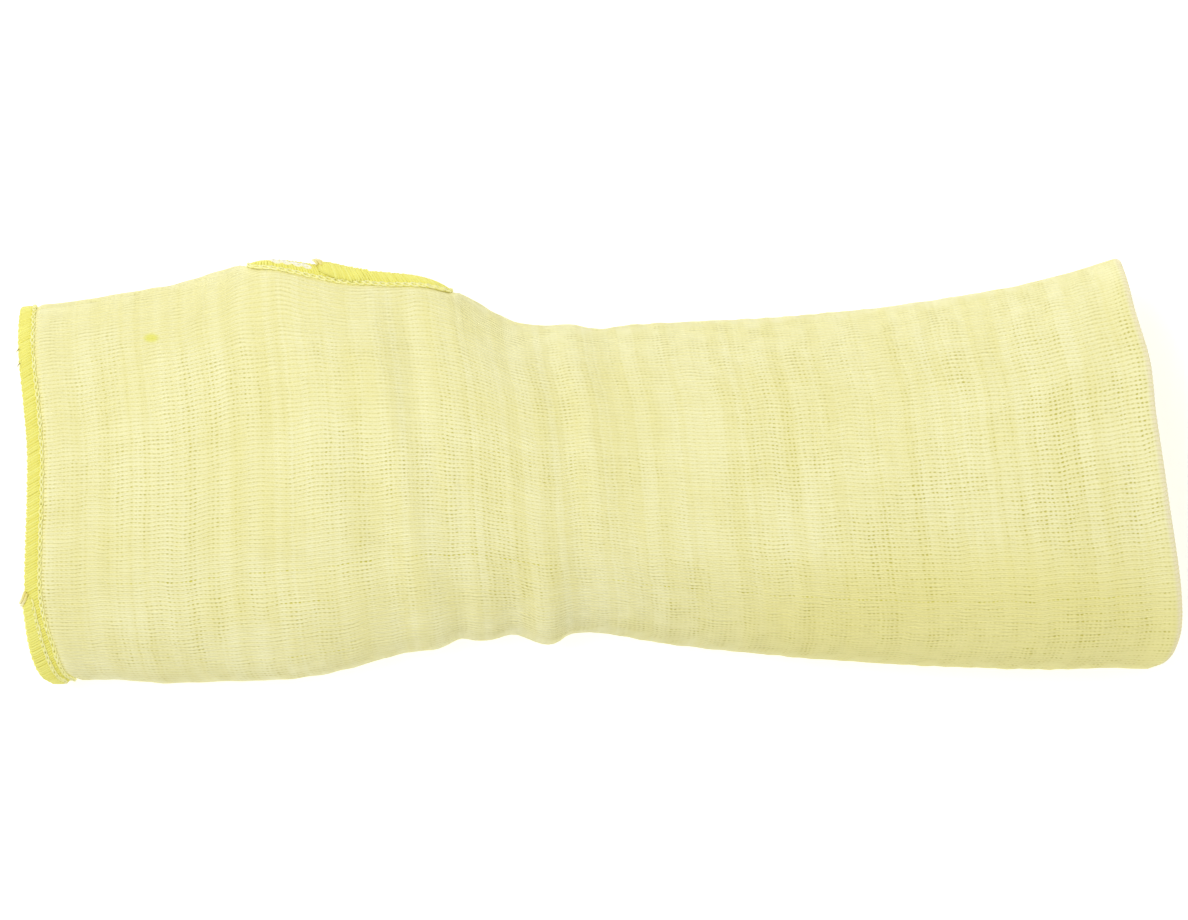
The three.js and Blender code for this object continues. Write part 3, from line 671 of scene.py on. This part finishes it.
HAND_TAIL = [
    ([(-1.9, -0.2, 0.35), (-0.6, 0.3, 0.30), (0.5, 0.9, 0.05), (1.1, 1.3, -0.5)], 0.36),
    ([(-1.4, 0.0, 0.00), (-0.2, 0.5, -0.05), (0.7, 0.8, -0.4), (1.4, 1.0, -0.9)], 0.33),
    ([(-1.5, -0.6, 0.60), (-0.1, -0.1, 0.75), (0.8, 0.5, 0.55), (1.5, 0.8, 0.1)], 0.32),
    ([(-0.5, -0.4, 0.55), (0.6, 0.3, 0.50), (1.3, 0.9, 0.20), (1.6, 1.15, -0.3)], 0.28),
]
SLOT_TAIL = [
    ([(-1.2, -0.9, 0.60), (-0.4, -0.2, 0.90), (0.2, 0.3, 0.85), (0.5, 0.75, 0.5)], 0.34),
    ([(-0.9, -0.6, 0.20), (-0.1, 0.2, 0.40), (0.5, 0.6, 0.35), (0.9, 0.7, 0.0)], 0.33),
    ([(-0.2, -1.1, 0.85), (0.4, -0.4, 1.00), (0.9, 0.1, 0.80), (1.1, 0.5, 0.3)], 0.30),
    ([(-1.6, -0.5, 0.40), (-1.0, 0.3, 0.60), (-0.3, 0.8, 0.50), (0.2, 1.0, 0.1)], 0.26),
]
STRAY_FIBRE = [([(-0.3, -0.3, 0.2), (-0.1, 0.1, 0.15), (0.15, 0.28, 0.05), (0.45, 0.32, -0.1)], 0.11)]
STRAY_TURNS = np.radians((40.0, 46.4))

hand_start, hand_finish = HAND.distance(np.radians(HAND_LAP[:2]))
hand_tail = tail("hand_edge_tail", HAND, hand_start, HAND_TAIL)
slot_tail = tail("thumb_slot_tail", SLOT, SLOT.distance(np.radians(SLOT_LAP[1])), SLOT_TAIL)
strays = [tail(f"stray_fibre_{k}", HAND, place, STRAY_FIBRE, 0.0)
          for k, place in enumerate(HAND.distance(STRAY_TURNS), 1)]

# %% [markdown]
# ## The needle's chain
# Beside the throws runs the needle thread, a row of paler loops that lock the seam. One loop is modelled
# from a torus: stretched along the seam and pinched at one end. Every stitch then gets its own copy.

# %% One loop, modelled once
LOOP_RADIUS, LOOP_THREAD = 0.5 * MM, 0.33 * MM
LOOP_STRETCH = (1.6, 0.56, 0.66)
PINCHED_FROM, LOOP_PINCH = 0.45 * MM, (1, 0.55, 1)

bpy.ops.mesh.primitive_torus_add(major_segments=12, minor_segments=4, major_radius=LOOP_RADIUS,
                                 minor_radius=LOOP_THREAD)
model_loop = bpy.context.object
model_loop.name = "one_chain_loop"
bpy.ops.object.mode_set(mode="EDIT")
bpy.ops.mesh.select_all(action="SELECT")
bpy.ops.transform.resize(value=LOOP_STRETCH)
bpy.ops.mesh.select_all(action="DESELECT")
bpy.ops.object.mode_set(mode="OBJECT")
for vertex in model_loop.data.vertices:
    vertex.select = vertex.co.x > PINCHED_FROM
bpy.ops.object.mode_set(mode="EDIT")
bpy.ops.transform.resize(value=LOOP_PINCH)
bpy.ops.object.mode_set(mode="OBJECT")
loop_points = np.array([v.co for v in model_loop.data.vertices])
loop_faces = [list(p.vertices) for p in model_loop.data.polygons]
bpy.data.objects.remove(model_loop)
print("one loop:", len(loop_points), "points", np.ptp(loop_points, 0) / MM)

# %% Loops along a seam
LOOP_HEIGHT, LOOP_TILT = 1.25, 0.22  # each loop stands taller, and dips under the next one


def chain(name, runs):
    """Each run is (edge, distances, reach, depth, size)."""
    parts = []
    for edge, distances, reach, depth, size in runs:
        reach, depth = (np.broadcast_to(v, len(distances)) for v in (reach, depth))
        for distance, inward, below in zip(distances, reach, depth):
            x, y, z = loop_points.T * size
            along = distance + x + rng.normal(0, 0.06 * MM)
            inward = inward + y * rng.uniform(0.85, 1.1) + rng.normal(0, 0.05 * MM)
            points = edge.point(along, inward, below - z * LOOP_HEIGHT - LOOP_TILT * x)
            parts.append((points, loop_faces, rng.uniform(0.3, 1)))
    return thread_piece(name, parts)


CHAIN_INSET = 0.40 * MM  # the loops lie this much inside the band's width
HAND_DEPTH, SLOT_DEPTH, LAP_DEPTH = 0.19 * MM, 0.20 * MM, -0.38 * MM
UNDER_DEPTH = 0.45 * MM  # and are pressed in this much deeper under the sleeve
LOOP_SIZE, LAP_LOOP_SIZE = 1.15, 1.05

hand_stitches, slot_stitches = np.arange(0, HAND.length, STITCH), np.arange(0, SLOT.length, STITCH)
hand_reach = band_width(HAND.turn(hand_stitches)) - CHAIN_INSET
hand_depth = HAND_DEPTH + UNDER_DEPTH * (1 - ease(np.sin(HAND.turn(hand_stitches)), -0.95, -0.5))
lap_stitches = np.arange(hand_start + 1.2 * MM, hand_finish - 7 * MM, 0.9 * STITCH)
lap_share = (lap_stitches - hand_start) / (hand_finish - hand_start)
lap_reach = lap_curve(HAND_LAP, 1, BAND_WIDTH)(lap_share) - 0.1 * MM
hand_chain = chain("hand_edge_chain", [(HAND, hand_stitches, hand_reach, hand_depth, LOOP_SIZE),
                                       (HAND, lap_stitches, lap_reach, LAP_DEPTH, LAP_LOOP_SIZE)])
chain_reach = BAND_WIDTH - CHAIN_INSET
slot_chain = chain("thumb_slot_chain", [(SLOT, slot_stitches, chain_reach, SLOT_DEPTH, LOOP_SIZE)])

# %% Loops of cut knit that show between sparse throws at the hand end of the slot
tuft_places = SLOT.distance(np.radians((119, 126, 134, 143)))
slot_tufts = chain("thumb_slot_cut_loops", [(SLOT, tuft_places, 1.6 * MM, -0.10 * MM, 1.25),
                                            (SLOT, tuft_places + 0.5 * MM, 1.3 * MM, -0.16 * MM, 0.8)])

# %% [markdown]
# ## Materials
# The knit's stitches are drawn by a node group that reads the UV map, where one unit across is one wale
# and one unit along is one course. It gives a height for the bump, masks for the grooves between wales and
# for the small holes between stitches, and a tone that varies from row to row. The material paints the
# grooves and holes a darker, deeper yellow as painted shade. Another group draws the grain of spun yarn,
# which the thread shares.

# %% Small helpers for node groups
def new_group(name, vectors, numbers, results):
    """A node group, the sockets that its nodes read from, and those that they write to."""
    group = bpy.data.node_groups.new(name, "ShaderNodeTree")
    add = group.interface.new_socket
    for label in vectors:
        add(name=label, in_out="INPUT", socket_type="NodeSocketVector")
    for label, value in numbers.items():
        add(name=label, in_out="INPUT", socket_type="NodeSocketFloat").default_value = value
    for label in results:
        add(name=label, in_out="OUTPUT", socket_type="NodeSocketFloat")
    return group, group.nodes.new("NodeGroupInput").outputs, group.nodes.new("NodeGroupOutput").inputs


def put(tree, socket, value):
    if isinstance(value, bpy.types.NodeSocket):
        tree.links.new(value, socket)
    else:
        socket.default_value = value


def filled(tree, kind, operation, values):
    node = tree.nodes.new(kind)
    node.operation = operation
    for socket, value in zip(node.inputs, values):
        put(tree, socket, value)
    return node


def calc(tree, operation, *values, clamp=False):
    node = filled(tree, "ShaderNodeMath", operation, values)
    node.use_clamp = clamp
    return node.outputs[0]


def plus(tree, first, second, clamp=False):
    return calc(tree, "ADD", first, second, clamp=clamp)


def minus(tree, first, second):
    return calc(tree, "SUBTRACT", first, second)


def times(tree, first, second, clamp=False):
    return calc(tree, "MULTIPLY", first, second, clamp=clamp)


def off_middle(tree, value):
    """How far a value lies from the middle of its own unit, 0 to 0.5."""
    return calc(tree, "ABSOLUTE", minus(tree, calc(tree, "FRACT", value), 0.5))


def split(tree, wales):
    node = tree.nodes.new("ShaderNodeSeparateXYZ")
    tree.links.new(wales, node.inputs[0])
    return node.outputs[0], node.outputs[1]


def smooth(tree, value, low, high, to_low=0.0, to_high=1.0):
    node = tree.nodes.new("ShaderNodeMapRange")
    node.interpolation_type = "SMOOTHSTEP"
    labels = ("Value", "From Min", "From Max", "To Min", "To Max")
    for label, item in zip(labels, (value, low, high, to_low, to_high)):
        put(tree, node.inputs[label], item)
    return node.outputs["Result"]


def noise(tree, vector, scale, detail=2.0, kind="2D"):
    node = tree.nodes.new("ShaderNodeTexNoise")
    node.noise_dimensions = kind
    put(tree, node.inputs["W" if kind == "1D" else "Vector"], vector)
    put(tree, node.inputs["Scale"], scale)
    node.inputs["Detail"].default_value = detail
    return node.outputs["Fac"]


def uneven(tree, place, scale, low, high, least=0.0, detail=2.0, kind="2D"):
    """A noise, stretched between its low and its high so that it runs from least to 1."""
    return smooth(tree, noise(tree, place, scale, detail, kind), low, high, least, 1.0)


def mix(tree, factor, first, second):
    node = tree.nodes.new("ShaderNodeMix")
    node.data_type = "RGBA"
    for label, value in (("Factor", factor), ("A", first), ("B", second)):
        put(tree, node.inputs[label], value)
    return node.outputs["Result"]


def paint(red, green, blue):
    """A display colour, 0 to 255, as the linear colour that a shader takes."""
    linear = [c / 255 / 12.92 if c < 10 else ((c / 255 + 0.055) / 1.055) ** 2.4 for c in (red, green, blue)]
    return (*linear, 1.0)


# %% Node group: the stitches of a plain knit
COURSE_SWAY, WALE_WOBBLE = 0.8, 0.9  # how far the drawn stitches wander, in courses and in wales
LEG_LEAN = 0.7  # how many courses a stitch's legs rise from its crest to its groove
CREST_HEIGHT, GROOVE_DROP = 0.35, 0.30
# Noise that varies the knitting: its scale, its low and its high, and what is left of a hole at its low
BY_STITCH, BY_ROW = (0.62, 0.32, 0.68, 0.40), (0.37, 0.36, 0.64, 0.50)
BY_ZONE = (0.045, 0.38, 0.62, 0.45)
ROW_TONE, PATCH_TONE = (0.31, 0.34, 0.66), (0.05, 0.34, 0.66)


def stitch_group():
    tree, given, result = new_group("plain_knit_stitches", ["Wales"], {"Openness": 1.0},
                                    ["Height", "Hole", "Groove", "Tone"])
    wales = given["Wales"]
    wale, course = split(tree, wales)
    sway = minus(tree, noise(tree, wales, 0.33, 1.0), 0.5)
    course = plus(tree, course, times(tree, sway, COURSE_SWAY))
    wobble = minus(tree, noise(tree, wales, 0.21), 0.5)
    wale = plus(tree, wale, times(tree, wobble, WALE_WOBBLE))
    off_crest = off_middle(tree, wale)
    off_row = off_middle(tree, plus(tree, course, times(tree, off_crest, LEG_LEAN)))
    groove = smooth(tree, off_crest, 0.16, 0.50)
    in_row = smooth(tree, off_row, 0.42, 0.06)
    uneven_hole = times(tree, uneven(tree, wales, *BY_STITCH), uneven(tree, course, *BY_ROW, kind="1D"))
    hole = times(tree, times(tree, groove, in_row), uneven_hole)
    hole = times(tree, times(tree, hole, uneven(tree, wales, *BY_ZONE)), given["Openness"], clamp=True)
    leg = calc(tree, "SINE", times(tree, off_crest, 2 * math.pi))
    crest = times(tree, minus(tree, 1.0, in_row), CREST_HEIGHT)
    low = plus(tree, hole, times(tree, groove, GROOVE_DROP))
    rows, patches = uneven(tree, course, *ROW_TONE, kind="1D"), uneven(tree, wales, *PATCH_TONE, detail=3.0)
    put(tree, result["Height"], minus(tree, plus(tree, leg, crest), low))
    put(tree, result["Hole"], hole)
    put(tree, result["Groove"], groove)
    put(tree, result["Tone"], plus(tree, times(tree, rows, 0.5), times(tree, patches, 0.5)))
    return tree


# %% Node group: how open the knit lies, less so at its sides and not at all on the fold
THUMB_SIDE, OUTER_SIDE = (4, 34, 0.45, 1.0), (112, 84, 0.55, 1.0)  # wales, then how open at each
TOWARDS_FOREARM = (140, 200, 1.0, 1.4)  # courses, then how open at each
STRETCHED_COURSES, STRETCHED_WALES = (120, 215), (58, 84)  # from here on the wales lie in pairs
PAIRED = (0.15, 0.40, 1.25, 0.45)  # how far off a pair's middle, then how open at each
FOLD_COURSES = (-1.6, -0.6)  # the fold starts this far before the last course


def openness_group():
    tree, given, result = new_group("knit_openness", ["Wales"], {"Last Course": 250.0}, ["Openness", "Fold"])
    wale, course = split(tree, given["Wales"])
    sides = times(tree, smooth(tree, wale, *THUMB_SIDE), smooth(tree, wale, *OUTER_SIDE))
    sides = times(tree, sides, smooth(tree, course, *TOWARDS_FOREARM))
    pairs = smooth(tree, off_middle(tree, calc(tree, "DIVIDE", wale, 2)), *PAIRED)
    stretched = times(tree, smooth(tree, course, *STRETCHED_COURSES), smooth(tree, wale, *STRETCHED_WALES))
    blend = tree.nodes.new("ShaderNodeMix")
    for socket, value in zip((blend.inputs[0], blend.inputs[2], blend.inputs[3]), (stretched, 1.0, pairs)):
        put(tree, socket, value)
    fold = smooth(tree, minus(tree, course, given["Last Course"]), *FOLD_COURSES)
    opened = times(tree, times(tree, sides, blend.outputs[0]), minus(tree, 1.0, fold))
    put(tree, result["Openness"], opened)
    put(tree, result["Fold"], fold)
    return tree


# %% Node group: one groove whose stitches have opened over part of its length
OPEN_ENDS = 8  # it opens and closes over this many courses
BROKEN = (0.16, 0.36, 0.54, 0.25)


def open_wale_group():
    numbers = {"Groove": 0.0, "From": 0.0, "To": 250.0}
    tree, given, result = new_group("open_wale", ["Wales"], numbers, ["Mask"])
    wale, course = split(tree, given["Wales"])
    aside = calc(tree, "ABSOLUTE", minus(tree, wale, given["Groove"]))
    before = smooth(tree, minus(tree, course, given["From"]), 0, OPEN_ENDS)
    after = smooth(tree, minus(tree, given["To"], course), 0, OPEN_ENDS)
    broken = uneven(tree, given["Wales"], *BROKEN, detail=1.0)
    mask = times(tree, smooth(tree, aside, 0.46, 0.10), times(tree, before, after))
    put(tree, result["Mask"], times(tree, mask, broken))
    return tree


# %% Node group: a soft round patch at a place on the piece
def patch_group():
    tree, given, result = new_group("soft_patch", ["Vector", "Centre", "Reach"], {}, ["Mask"])
    kind = "ShaderNodeVectorMath"
    away = filled(tree, kind, "SUBTRACT", (given["Vector"], given["Centre"])).outputs[0]
    scaled = filled(tree, kind, "DIVIDE", (away, given["Reach"])).outputs[0]
    length = filled(tree, kind, "LENGTH", (scaled,)).outputs["Value"]
    put(tree, result["Mask"], smooth(tree, length, 1.0, 0.35))
    return tree


# %% Node group: the grain of spun yarn, used by the knit and by the thread
def grain_group():
    tree, given, result = new_group("spun_yarn_grain", ["Vector"], {"Scale": 3000.0}, ["Height", "Tone"])
    grain = noise(tree, given["Vector"], given["Scale"], 3.0, "3D")
    put(tree, result["Height"], grain)
    put(tree, result["Tone"], smooth(tree, grain, 0.3, 0.7))
    return tree


STITCHES, GRAIN = stitch_group(), grain_group()
OPENNESS, OPEN_WALE, PATCH = openness_group(), open_wale_group(), patch_group()

# %% What every cloth and thread material starts from
BUMP_STRENGTH = 0.5


def fabric(name, roughness, sheen):
    material = bpy.data.materials.new(name)
    material.use_nodes = True
    tree = material.node_tree
    shader = tree.nodes["Principled BSDF"]
    for label, value in (("Roughness", roughness), ("Sheen Weight", sheen), ("Specular IOR Level", 0.2)):
        shader.inputs[label].default_value = value
    return material, tree, shader


def placed(tree, group, **values):
    """The group's outputs, once it stands in a material with these values."""
    node = tree.nodes.new("ShaderNodeGroup")
    node.node_tree = group
    for label, value in values.items():
        put(tree, node.inputs[label], value)
    return node.outputs


def bump(tree, shader, height, distance):
    node = tree.nodes.new("ShaderNodeBump")
    node.inputs["Distance"].default_value = distance
    node.inputs["Strength"].default_value = BUMP_STRENGTH
    tree.links.new(height, node.inputs["Height"])
    tree.links.new(node.outputs["Normal"], shader.inputs["Normal"])


# %% The knit, in display colours
YARN_DEEP, YARN_PALE = (247, 241, 176), (254, 250, 197)
# Painted shade: the groove, hole and open wale colours are darker, deeper yellows that stand in for the
# shade in these recesses
GROOVE_SHADE, HOLE_SHADE, OPEN_WALE_SHADE = (229, 221, 140), (202, 192, 88), (212, 203, 76)
YARN_FLECK, YARN_FOLD, SIDE_SHADE = (240, 238, 104), (252, 241, 205), (246, 238, 158)
OPEN_WALES = [(76, 8, 118), (81, 112, 246), (84, 50, 74), (98, 50, 74)]  # groove, from course, to course
OPEN_GAIN = 1.2
FLECK, FLECK_REACH = (-99.3 * MM, 29.9 * MM, 30 * MM), (2.4 * MM, 1.4 * MM, 12 * MM)
# Painted shade: the shaded outer side of the forearm is painted a deeper yellow
SHADED_SIDE_CENTRE, SHADED_SIDE_REACH = (88 * MM, -36 * MM, 28 * MM), (95 * MM, 26 * MM, 60 * MM)
KNIT_GRAIN, KNIT_BUMP = 2600.0, 0.12 * MM


def knit_material():
    material, tree, shader = fabric("aramid_knit", 0.9, 0.1)
    uv = tree.nodes.new("ShaderNodeUVMap")
    uv.uv_map = "wales"
    wales = uv.outputs[0]
    place = tree.nodes.new("ShaderNodeTexCoord").outputs["Object"]
    open_knit = placed(tree, OPENNESS, Wales=wales, **{"Last Course": COURSES})
    opened, lines = open_knit["Openness"], 0.0
    for groove, start, end in OPEN_WALES:
        line = placed(tree, OPEN_WALE, Wales=wales, Groove=groove, From=start, To=end)["Mask"]
        opened = plus(tree, opened, times(tree, line, OPEN_GAIN))
        lines = plus(tree, lines, line, clamp=True)
    stitches = placed(tree, STITCHES, Wales=wales, Openness=opened)
    fleck = placed(tree, PATCH, Vector=place, Centre=FLECK, Reach=FLECK_REACH)
    deep = placed(tree, PATCH, Vector=place, Centre=SHADED_SIDE_CENTRE, Reach=SHADED_SIDE_REACH)
    yarn = mix(tree, stitches["Tone"], paint(*YARN_DEEP), paint(*YARN_PALE))
    # Coats: a yellow fleck in the yarn, painted shade on the outer side of the forearm, the paler fold, and
    # painted shade in the grooves
    coats = [(fleck["Mask"], 0.85, YARN_FLECK), (deep["Mask"], 0.8, SIDE_SHADE),
             (open_knit["Fold"], 0.7, YARN_FOLD), (stitches["Groove"], 0.4, GROOVE_SHADE)]
    for mask, strength, colour in coats:
        yarn = mix(tree, times(tree, mask, strength), yarn, paint(*colour))
    # The holes and the open wales take painted shade
    hole = mix(tree, lines, paint(*HOLE_SHADE), paint(*OPEN_WALE_SHADE))
    tree.links.new(mix(tree, stitches["Hole"], yarn, hole), shader.inputs["Base Color"])
    grain = placed(tree, GRAIN, Vector=place, Scale=KNIT_GRAIN)["Height"]
    bump(tree, shader, plus(tree, stitches["Height"], times(tree, grain, 0.3)), KNIT_BUMP)
    return material


knit.data.materials.append(knit_material())

# %% The threads: colours at tone 0 and at tone 1, and the pieces made of each
THREADS = {
    "wrapping_thread": ((236, 228, 108), (246, 243, 140), [hand_run, slot_run, hand_lap, slot_lap]),
    "cut_knit_loops": ((252, 247, 214), (255, 253, 236), [slot_tufts]),
    "needle_thread": ((250, 245, 150), (255, 252, 190), [hand_chain, slot_chain]),
    "cut_thread_ends": ((234, 218, 98), (253, 248, 212), [hand_tail, slot_tail]),
    "stray_fibre": ((150, 132, 84), (176, 158, 104), strays),
}
THREAD_GRAIN, THREAD_BUMP = 3200.0, 0.10 * MM
TONE_SHARE, GRAIN_SHARE = 0.7, 0.3


def thread_material(name, dark, light):
    material, tree, shader = fabric(name, 0.75, 0.1)
    place = tree.nodes.new("ShaderNodeTexCoord").outputs["Object"]
    grain = placed(tree, GRAIN, Vector=place, Scale=THREAD_GRAIN)
    tone = tree.nodes.new("ShaderNodeAttribute")
    tone.attribute_name = "tone"
    blend = plus(tree, times(tree, tone.outputs["Fac"], TONE_SHARE), times(tree, grain["Tone"], GRAIN_SHARE))
    tree.links.new(mix(tree, blend, paint(*dark), paint(*light)), shader.inputs["Base Color"])
    bump(tree, shader, grain["Height"], THREAD_BUMP)
    return material


for name, (dark, light, pieces) in THREADS.items():
    thread = thread_material(name, dark, light)
    for piece in pieces:
        piece.data.materials.append(thread)
    print(f"{name}: {len(pieces)} pieces")

# %% [markdown]
# ## Floor, light and camera
# The photo is a catalogue picture: pure white around the sleeve, soft light from above and a little from
# the thumb side, and a camera straight above with a long lens. Such a table is lit through its top, so the
# floor here glows a little, and the sleeve's shadow almost goes.

# %% Floor
FLOOR_GLOW, FLOOR_SIZE, FLOOR_GRAIN = 0.45, 6, 400.0
WHITE = (1, 1, 1, 1)

bpy.ops.mesh.primitive_plane_add(size=FLOOR_SIZE)
floor = bpy.context.object
floor.name = "floor"
pale, tree, shader = fabric("pale_floor", 0.95, 0.0)
place = tree.nodes.new("ShaderNodeTexCoord").outputs["Object"]
speckle = placed(tree, GRAIN, Vector=place, Scale=FLOOR_GRAIN)["Tone"]
tree.links.new(mix(tree, speckle, (0.93, 0.93, 0.93, 1), (0.95, 0.95, 0.95, 1)), shader.inputs["Base Color"])
shader.inputs["Emission Color"].default_value = WHITE
shader.inputs["Emission Strength"].default_value = FLOOR_GLOW
floor.data.materials.append(pale)

# %% Light: a white sky, and one soft box that faces the sleeve
SKY, KEY_POWER, KEY_SIZE = 0.66, 7.8, 0.7
KEY_PLACE = Vector((-0.42, 0.32, 1.3))

world = bpy.data.worlds.new("studio")
bpy.context.scene.world = world
world.use_nodes = True
world.node_tree.nodes["Background"].inputs["Color"].default_value = WHITE
world.node_tree.nodes["Background"].inputs["Strength"].default_value = SKY

softbox = bpy.data.lights.new("key_light", "AREA")
softbox.shape, softbox.size, softbox.energy = "SQUARE", KEY_SIZE, KEY_POWER
lamp = new_object("key_light", softbox)
lamp.location = KEY_PLACE
lamp.rotation_euler = (-KEY_PLACE).to_track_quat("-Z", "Y").to_euler()

# %% Camera: the photo is 1188 by 920 pixels of 0.2232 mm, and its middle lies near the sleeve's own
PIXEL = 0.2232 * MM
PHOTO = (1188, 920)
SLEEVE_IN_PHOTO = (597.2, 472.2)
HEIGHT, SENSOR = 4.0, 36
OUTLINE_HEIGHT = 0.018  # the sleeve is widest about this far above the floor

camera_data = bpy.data.cameras.new("camera")
camera = new_object("camera", camera_data)
bpy.context.scene.camera = camera
camera.location = ((PHOTO[0] / 2 - SLEEVE_IN_PHOTO[0]) * PIXEL, (SLEEVE_IN_PHOTO[1] - PHOTO[1] / 2) * PIXEL,
                   HEIGHT)
camera_data.sensor_width = SENSOR
camera_data.lens = SENSOR * (HEIGHT - OUTLINE_HEIGHT) / (PHOTO[0] * PIXEL)
camera_data.clip_start, camera_data.clip_end = 0.1, 20
bpy.context.scene.view_settings.view_transform = "Standard"
